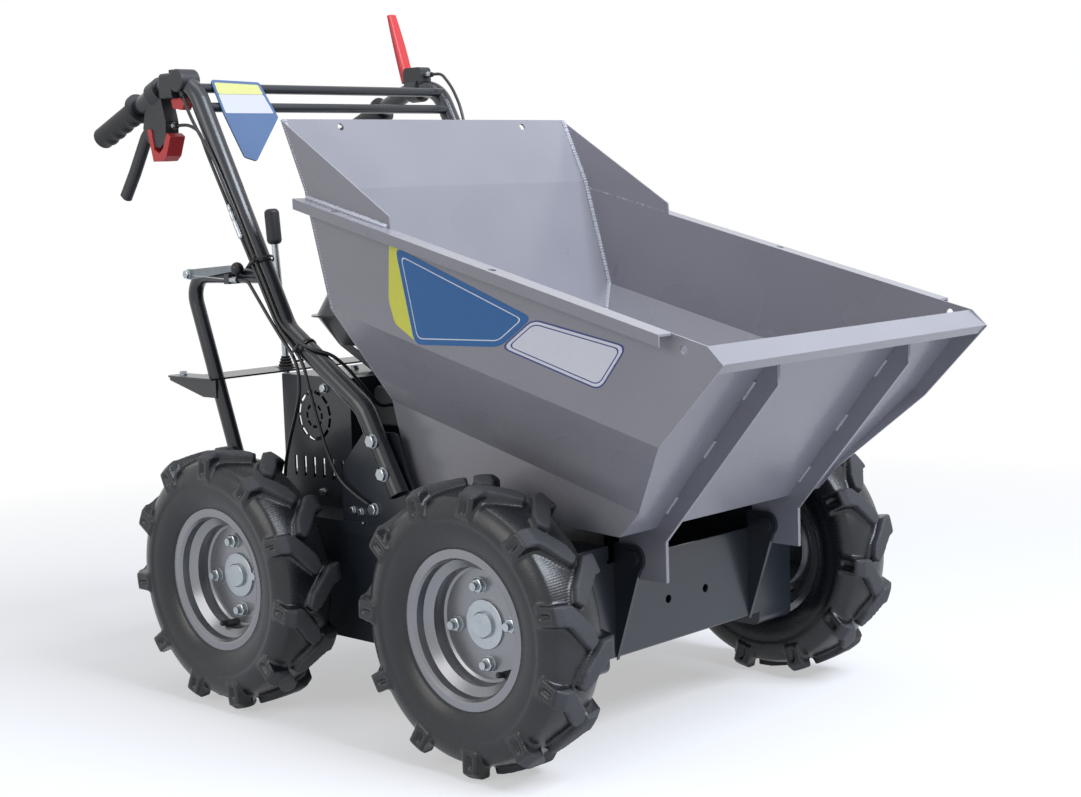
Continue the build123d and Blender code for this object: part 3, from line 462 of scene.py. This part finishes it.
def rounded(corners, radius):
    """Outline whose corners are cut back by the radius and drawn as smooth curves."""
    outline = []
    for before, here, after in with_neighbours(corners):
        start = here + (before - here).normalized() * radius
        end = here + (after - here).normalized() * radius
        for t in (0, 0.2, 0.4, 0.6, 0.8, 1):
            outline.append(start * (1 - t) ** 2 + here * 2 * t * (1 - t) + end * t ** 2)
    return outline


def sticker(name, outline, lay, level, material, body):
    """Thin closed sheet, its foot just under a face: lay places (u, v) at a height over the face in mm."""
    mesh = bmesh.new()
    foot = [mesh.verts.new(Vector(lay(u, v, FILM_FOOT)) / 1000) for u, v in outline]
    top = [mesh.verts.new(Vector(lay(u, v, level)) / 1000) for u, v in outline]
    mesh.faces.new(foot)
    mesh.faces.new(top)
    for i in range(len(outline)):
        mesh.faces.new((foot[i - 1], foot[i], top[i], top[i - 1]))
    fasten(name, mesh, material, body)


SKIP_SIDE_Y = 318
FILM_FOOT = -0.3
FILM_LEVEL = 0.15
FILM_STEP = 0.07


def on_left_side(x, z, level):
    """Place over the skip's left side sheet."""
    return (x, SKIP_SIDE_Y + level, z)


def on_right_side(x, z, level):
    """Place over the skip's right side sheet."""
    return (x, -SKIP_SIDE_Y - level, z)


sign_blue = vinyl("blue_vinyl", "#1A66A6")
sign_white = vinyl("white_vinyl", "#ECEDF4")
sign_yellow = vinyl("yellow_vinyl", "#E8E65A")
sign_navy = vinyl("navy_vinyl", "#2C3F86")
blue_field = [Vector(p) for p in ((105, 738), (376, 642), (312, 600), (139, 597))]
white_field = [Vector(p) for p in ((377, 641), (545, 610), (495, 549), (313, 599))]
yellow_strip = [Vector(p) for p in ((92, 743), (118, 738), (150, 597), (98, 626), (86, 660))]
films = (
    ("yellow_strip", yellow_strip, 0, 8, sign_yellow),
    ("white_border", white_field, 0, 16, sign_navy),
    ("white_field", white_field, 2.2, 14, sign_white),
    ("navy_line", white_field, 6, 12, sign_navy),
    ("white_middle", white_field, 7.6, 11, sign_white),
    ("blue_field", blue_field, 0, 16, sign_blue),
    ("white_line", blue_field, 8, 11, sign_white),
    ("blue_middle", blue_field, 9.6, 10, sign_blue),
)
for side, lay in (("left", on_left_side), ("right", on_right_side)):
    for i, (name, corners, by, radius, material) in enumerate(films):
        outline = rounded(inset(corners, by), radius)
        level = FILM_LEVEL + FILM_STEP * i
        sticker(f"side_{name}_{side}", outline, lay, level, material, "skip")

# Handlebar and guard tubes: bent steel tube with welded crossbars, powder coated blue-black.
# The coat is glossier than the chassis's, so each tube carries one long soft highlight.
tube_coat = powder_coat("tube_powder_coat", "#20242A", "#282D35", 1.6, 0.26)
dress(tube_coat, "handlebar_tube", "crossbar", "guard_tube")

# Bracket, cover and shelf bolts: hexagon bolts on washers, zinc plated like the hubs. Two hold each
# handlebar tube's foot to its bracket, and three smaller ones sit below them on the bracket's plate.
# Each row gives x, |y|, z and thread; the first two lists face sideways and the last faces up.
TUBE_AND_PLATE_BOLTS = ((7, 291.5, 443, 11), (28, 291.5, 394, 11), (-32, 260, 330, 10), (-63, 260, 323, 6),
                        (-82, 260, 324, 6))
COVER_SCREWS = ((-224, 190, 501, 8), (-239, 190, 328, 6))
TOP_SCREWS = ((-58, 262.5, 305, 2.4), (-508, 266, 517, 7))
COVER_TOP_SCREW_AT = (-273, -82, 520)
COVER_TOP_THREAD = 7
bolts = bmesh.new()
for out in (-1, 1):
    for x, y, z, thread in TUBE_AND_PLATE_BOLTS + COVER_SCREWS:
        bolt_head(bolts, (x, out * y, z), (0, out, 0), thread)
    for x, y, z, thread in TOP_SCREWS:
        bolt_head(bolts, (x, out * y, z), (0, 0, 1), thread)
bolt_head(bolts, COVER_TOP_SCREW_AT, (0, 0, 1), COVER_TOP_THREAD)
fasten("frame_bolts", bolts, zinc, "chassis")

# Control panel: a cut steel sheet in blue-grey powder coat, fixed to the crossbars. The plain sticker
# across its top is a yellow band over a white field.
BAR_LEAN = -0.53885
BAR_TOP_X = -420
BAR_TOP_Z = 1005
PANEL_FACE_AHEAD = 16
PANEL_FILM_LEVEL = 0.2
PANEL_CORNER = 3
panel_blue = powder_coat("blue_grey_powder_coat", "#4A6790", "#526F98", 1.8, 0.34)
dress(panel_blue, "control_panel")


def on_panel(y, z, level):
    """Place over the control panel's face, which leans with the handlebar."""
    ahead = (PANEL_FACE_AHEAD + level) * math.hypot(1, BAR_LEAN)
    return (BAR_TOP_X + BAR_LEAN * (z - BAR_TOP_Z) + ahead, y, z)


yellow_band = [Vector(p) for p in ((-248, 1005.5), (-159, 1002.5), (-156, 986), (-248, 986))]
white_band = [Vector(p) for p in ((-248, 985.5), (-156, 985.5), (-149, 954), (-248, 954))]
pale_yellow = vinyl("pale_yellow_vinyl", "#DAD98C")
pale_white = vinyl("pale_grey_vinyl", "#CFD0DA")
for name, band, film in (
    ("panel_yellow_band", yellow_band, pale_yellow),
    ("panel_white_band", white_band, pale_white),
):
    outline = rounded(band, PANEL_CORNER)
    sticker(name, outline, on_panel, PANEL_FILM_LEVEL, film, "chassis")

# Grips and shift knob: moulded soft rubber, pushed over the tube ends and the shift rod.
# The rubber is matt with a slight bloom, like the valves'.
dress(valve_rubber, "grip", "gear_knob")


# Hand controls: injection moulded nylon, clamped and screwed to the bars. The housings and the clutch
# lever are black; the clutch's lock, the throttle's thumb lever and the tipping lever are red.
def moulded_nylon(name, colour, roughness):
    """Moulded plastic: dull, mottled over 22 mm, with its grain drawn coarser than real, at 0.9 mm."""
    material, tree = new_material(name)
    where = add(tree, "ShaderNodeTexCoord").outputs["Object"]
    grain = add(tree, "ShaderNodeTexNoise", {"Vector": where, "Scale": 1000 / 0.9, "Detail": 2})
    mottle = add(tree, "ShaderNodeTexNoise", {
        "Vector": where, "Scale": 1000 / 22, "Detail": 4,
    }).outputs["Fac"]
    level = add(tree, "ShaderNodeMapRange", {"Value": mottle, "To Min": 0.92, "To Max": 1.08})
    tint = add(tree, "ShaderNodeHueSaturation", {"Color": linear(colour), "Value": level.outputs[0]})
    gloss = add(tree, "ShaderNodeMapRange", {
        "Value": mottle, "To Min": roughness - 0.05, "To Max": roughness + 0.1,
    })
    bump = add(tree, "ShaderNodeBump", {"Height": grain.outputs["Fac"], "Strength": 0.3, "Distance": 0.0002})
    shader = add(tree, "ShaderNodeBsdfPrincipled", {
        "Base Color": tint.outputs[0], "Roughness": gloss.outputs[0], "Normal": bump.outputs[0],
        "IOR": 1.53,
    })
    add(tree, "ShaderNodeOutputMaterial", {"Surface": shader.outputs[0]})
    return material


black_nylon = moulded_nylon("black_nylon", "#26282D", 0.45)
red_nylon = moulded_nylon("red_nylon", "#D23A3C", 0.4)
dress(red_nylon, "clutch_lock", "throttle_thumb", "tip_lever")
# The tipping lever's mount begins with the red lever's name, so the black goes on after the red.
dress(black_nylon, "clutch_perch", "clutch_lever", "throttle_housing", "tip_lever_mount")

# Control cables: steel wire in black extruded PVC sheath, with a smooth soft gloss.
# Zinc-plated sleeves adjust them at both hand levers, down the clutch cable and at the catch lever,
# and two black nylon ties hold them to the right tube.
ADJUSTER = (16, (0, 5.6), (1, 6), (9, 6), (10, 5.2), (16, 5.2))
LONG_ADJUSTER = (20, (0, 3.1), (1, 3.8), (10, 3.8), (11, 3.2), (16, 3.2), (17, 4.6), (28, 4.6), (29, 4),
                 (32, 4), (33, 4.8), (60, 4.8), (62, 3.1))
LOCK_NUT = (6, (0, 6), (6, 6), (7, 5))
LOCK_COLLAR = (16, (7, 4.9), (15, 4.9), (16, 4))
sheath = moulded_nylon("extruded_pvc_sheath", "#1D1F23", 0.32)
dress(sheath, "cable_")
sleeves = bmesh.new()
turned(sleeves, (-489, -276, 938), (1, 0, 0), ADJUSTER)
turned(sleeves, (-452, 276, 1031), (1, 0, 0), ADJUSTER)
turned(sleeves, (-317.5, -295.3, 804), (0.51, -0.009, -0.86), LONG_ADJUSTER)
turned(sleeves, (-317, -297, 684), (1, 0, 0), LOCK_NUT, LOCK_COLLAR)
fasten("cable_adjusters", sleeves, zinc, "chassis")
TIE_HALF_WIDTH = 2
TIE_THICKNESS = 1.3
TIE_LOCK_OUT = Vector((0.3, -0.9, 0.25)).normalized()
TIE_LOCK = (4, (0, 3.6), (6, 3.6))
TIE_TAIL_RUN = (0.82, -0.45, 0.35)
TIE_TAIL = (4, (0, 1.4), (24, 1.2))
ties = bmesh.new()
for middle, run, loop in (
    ((-260, -279.4, 712), (0.474, 0, -0.881), 20.6),
    ((-162, -279.6, 574), (0.8, 0, -0.6), 21.4),
):
    outside = loop + TIE_THICKNESS
    band = [(-TIE_HALF_WIDTH, loop), (TIE_HALF_WIDTH, loop), (TIE_HALF_WIDTH, outside)]
    band += [(-TIE_HALF_WIDTH, outside), (-TIE_HALF_WIDTH, loop)]
    turned(ties, middle, run, (28, *band))
    lock = Vector(middle) + TIE_LOCK_OUT * (loop + 1)
    turned(ties, lock - Vector(run) * 3, run, TIE_LOCK)
    turned(ties, lock, TIE_TAIL_RUN, TIE_TAIL)
fasten("cable_ties", ties, black_nylon, "chassis")

# Catch lever: a zinc-plated strip on a bolt through the guard tube, with a moulded black ball knob.
# Its bare inner wire runs from the lever's boss into the adjuster.
KNOB_FROM_X = -314
WIRE_LENGTH = 107
catch_finish, tree = new_material("zinc_plated_strip_and_black_knob")
where = add(tree, "ShaderNodeTexCoord").outputs["Object"]
ahead = add(tree, "ShaderNodeSeparateXYZ", {"Vector": where}).outputs["X"]
knob = add(tree, "ShaderNodeMath", {0: ahead, 1: KNOB_FROM_X / 1000}, operation="GREATER_THAN")
steel = add(tree, "ShaderNodeMath", {0: ahead, 1: KNOB_FROM_X / 1000}, operation="LESS_THAN")
patch = add(tree, "ShaderNodeTexNoise", {"Vector": where, "Scale": 1000 / 12, "Detail": 3}).outputs["Fac"]
plating = add(tree, "ShaderNodeMix", {
    0: patch, "A": linear("#6E757C"), "B": linear("#8E959A"),
}, data_type="RGBA")
tint = add(tree, "ShaderNodeMix", {
    0: knob.outputs[0], "A": plating.outputs["Result"], "B": linear("#17181B"),
}, data_type="RGBA")
gloss = add(tree, "ShaderNodeMapRange", {"Value": patch, "To Min": 0.28, "To Max": 0.5})
shader = add(tree, "ShaderNodeBsdfPrincipled", {
    "Base Color": tint.outputs["Result"], "Metallic": steel.outputs[0], "Roughness": gloss.outputs[0],
})
add(tree, "ShaderNodeOutputMaterial", {"Surface": shader.outputs[0]})
dress(catch_finish, "latch_lever")
catch = bmesh.new()
bolt_head(catch, (-433, -298, 691.5), (0, -1, 0), 8)
turned(catch, (-424, -297.5, 690), (WIRE_LENGTH, 0.5, -6), (8, (0, 1), (WIRE_LENGTH, 1)))
fasten("catch_bolt_and_wire", catch, zinc, "chassis")

# Shift lever: a zinc-plated steel rod. Round its foot a small moulded rubber bellows is pressed into
# the shelf's gate; it is matt black, and its folds narrow upwards.
BOOT_RADIUS = 15
FOLD_RISE = 2.5
FOLD_TAPER = 0.8
FOLD_DEPTH = 2
folds = [(i * FOLD_RISE, BOOT_RADIUS - i * FOLD_TAPER - i % 2 * FOLD_DEPTH) for i in range(9)]
dress(zinc, "gear_lever")
boot = bmesh.new()
turned(boot, (-436.2, -100, 517.2), (-0.012, 0, 1), (24, *folds))
fasten("shift_lever_boot", boot, valve_rubber, "chassis")

# Engine block, cylinder head and gearbox: sand-cast aluminium, bolted to the pan. It is dull silver
# with stains a few centimetres wide and a grainy skin, whose grit is drawn coarser than real, at 1.4 mm.
cast, tree = new_material("sand_cast_aluminium")
where = add(tree, "ShaderNodeTexCoord").outputs["Object"]
grit = add(tree, "ShaderNodeTexNoise", {"Vector": where, "Scale": 1000 / 1.4, "Detail": 5})
stain = add(tree, "ShaderNodeTexNoise", {"Vector": where, "Scale": 1000 / 40, "Detail": 5})
tint = add(tree, "ShaderNodeMix", {
    0: stain.outputs["Fac"], "A": linear("#8F9194"), "B": linear("#B5B6B6"),
}, data_type="RGBA")
bump = add(tree, "ShaderNodeBump", {"Height": grit.outputs["Fac"], "Strength": 0.5, "Distance": 0.0005})
shader = add(tree, "ShaderNodeBsdfPrincipled", {
    "Base Color": tint.outputs["Result"], "Metallic": 1, "Roughness": 0.55, "Normal": bump.outputs[0],
})
add(tree, "ShaderNodeOutputMaterial", {"Surface": shader.outputs[0]})
dress(cast, "engine_block", "cylinder_head", "gearbox")

# Fan housing and air filter: injection moulded nylon, screwed to the engine block.
# They have the dull black skin of the hand controls' housings.
dress(black_nylon, "fan_housing", "air_filter")

# Fuel tank and muffler: pressed steel, seamed and screwed to the engine.
# The tank is in gloss black enamel, and the muffler is aluminised and dulled by heat.
enamel = powder_coat("black_tank_enamel", "#1D1F23", "#23262B", 2.5, 0.22)
dress(enamel, "fuel_tank")
heat_steel = powder_coat("aluminised_steel", "#6A6865", "#5A5653", 1.2, 0.5)
dress(heat_steel, "muffler")
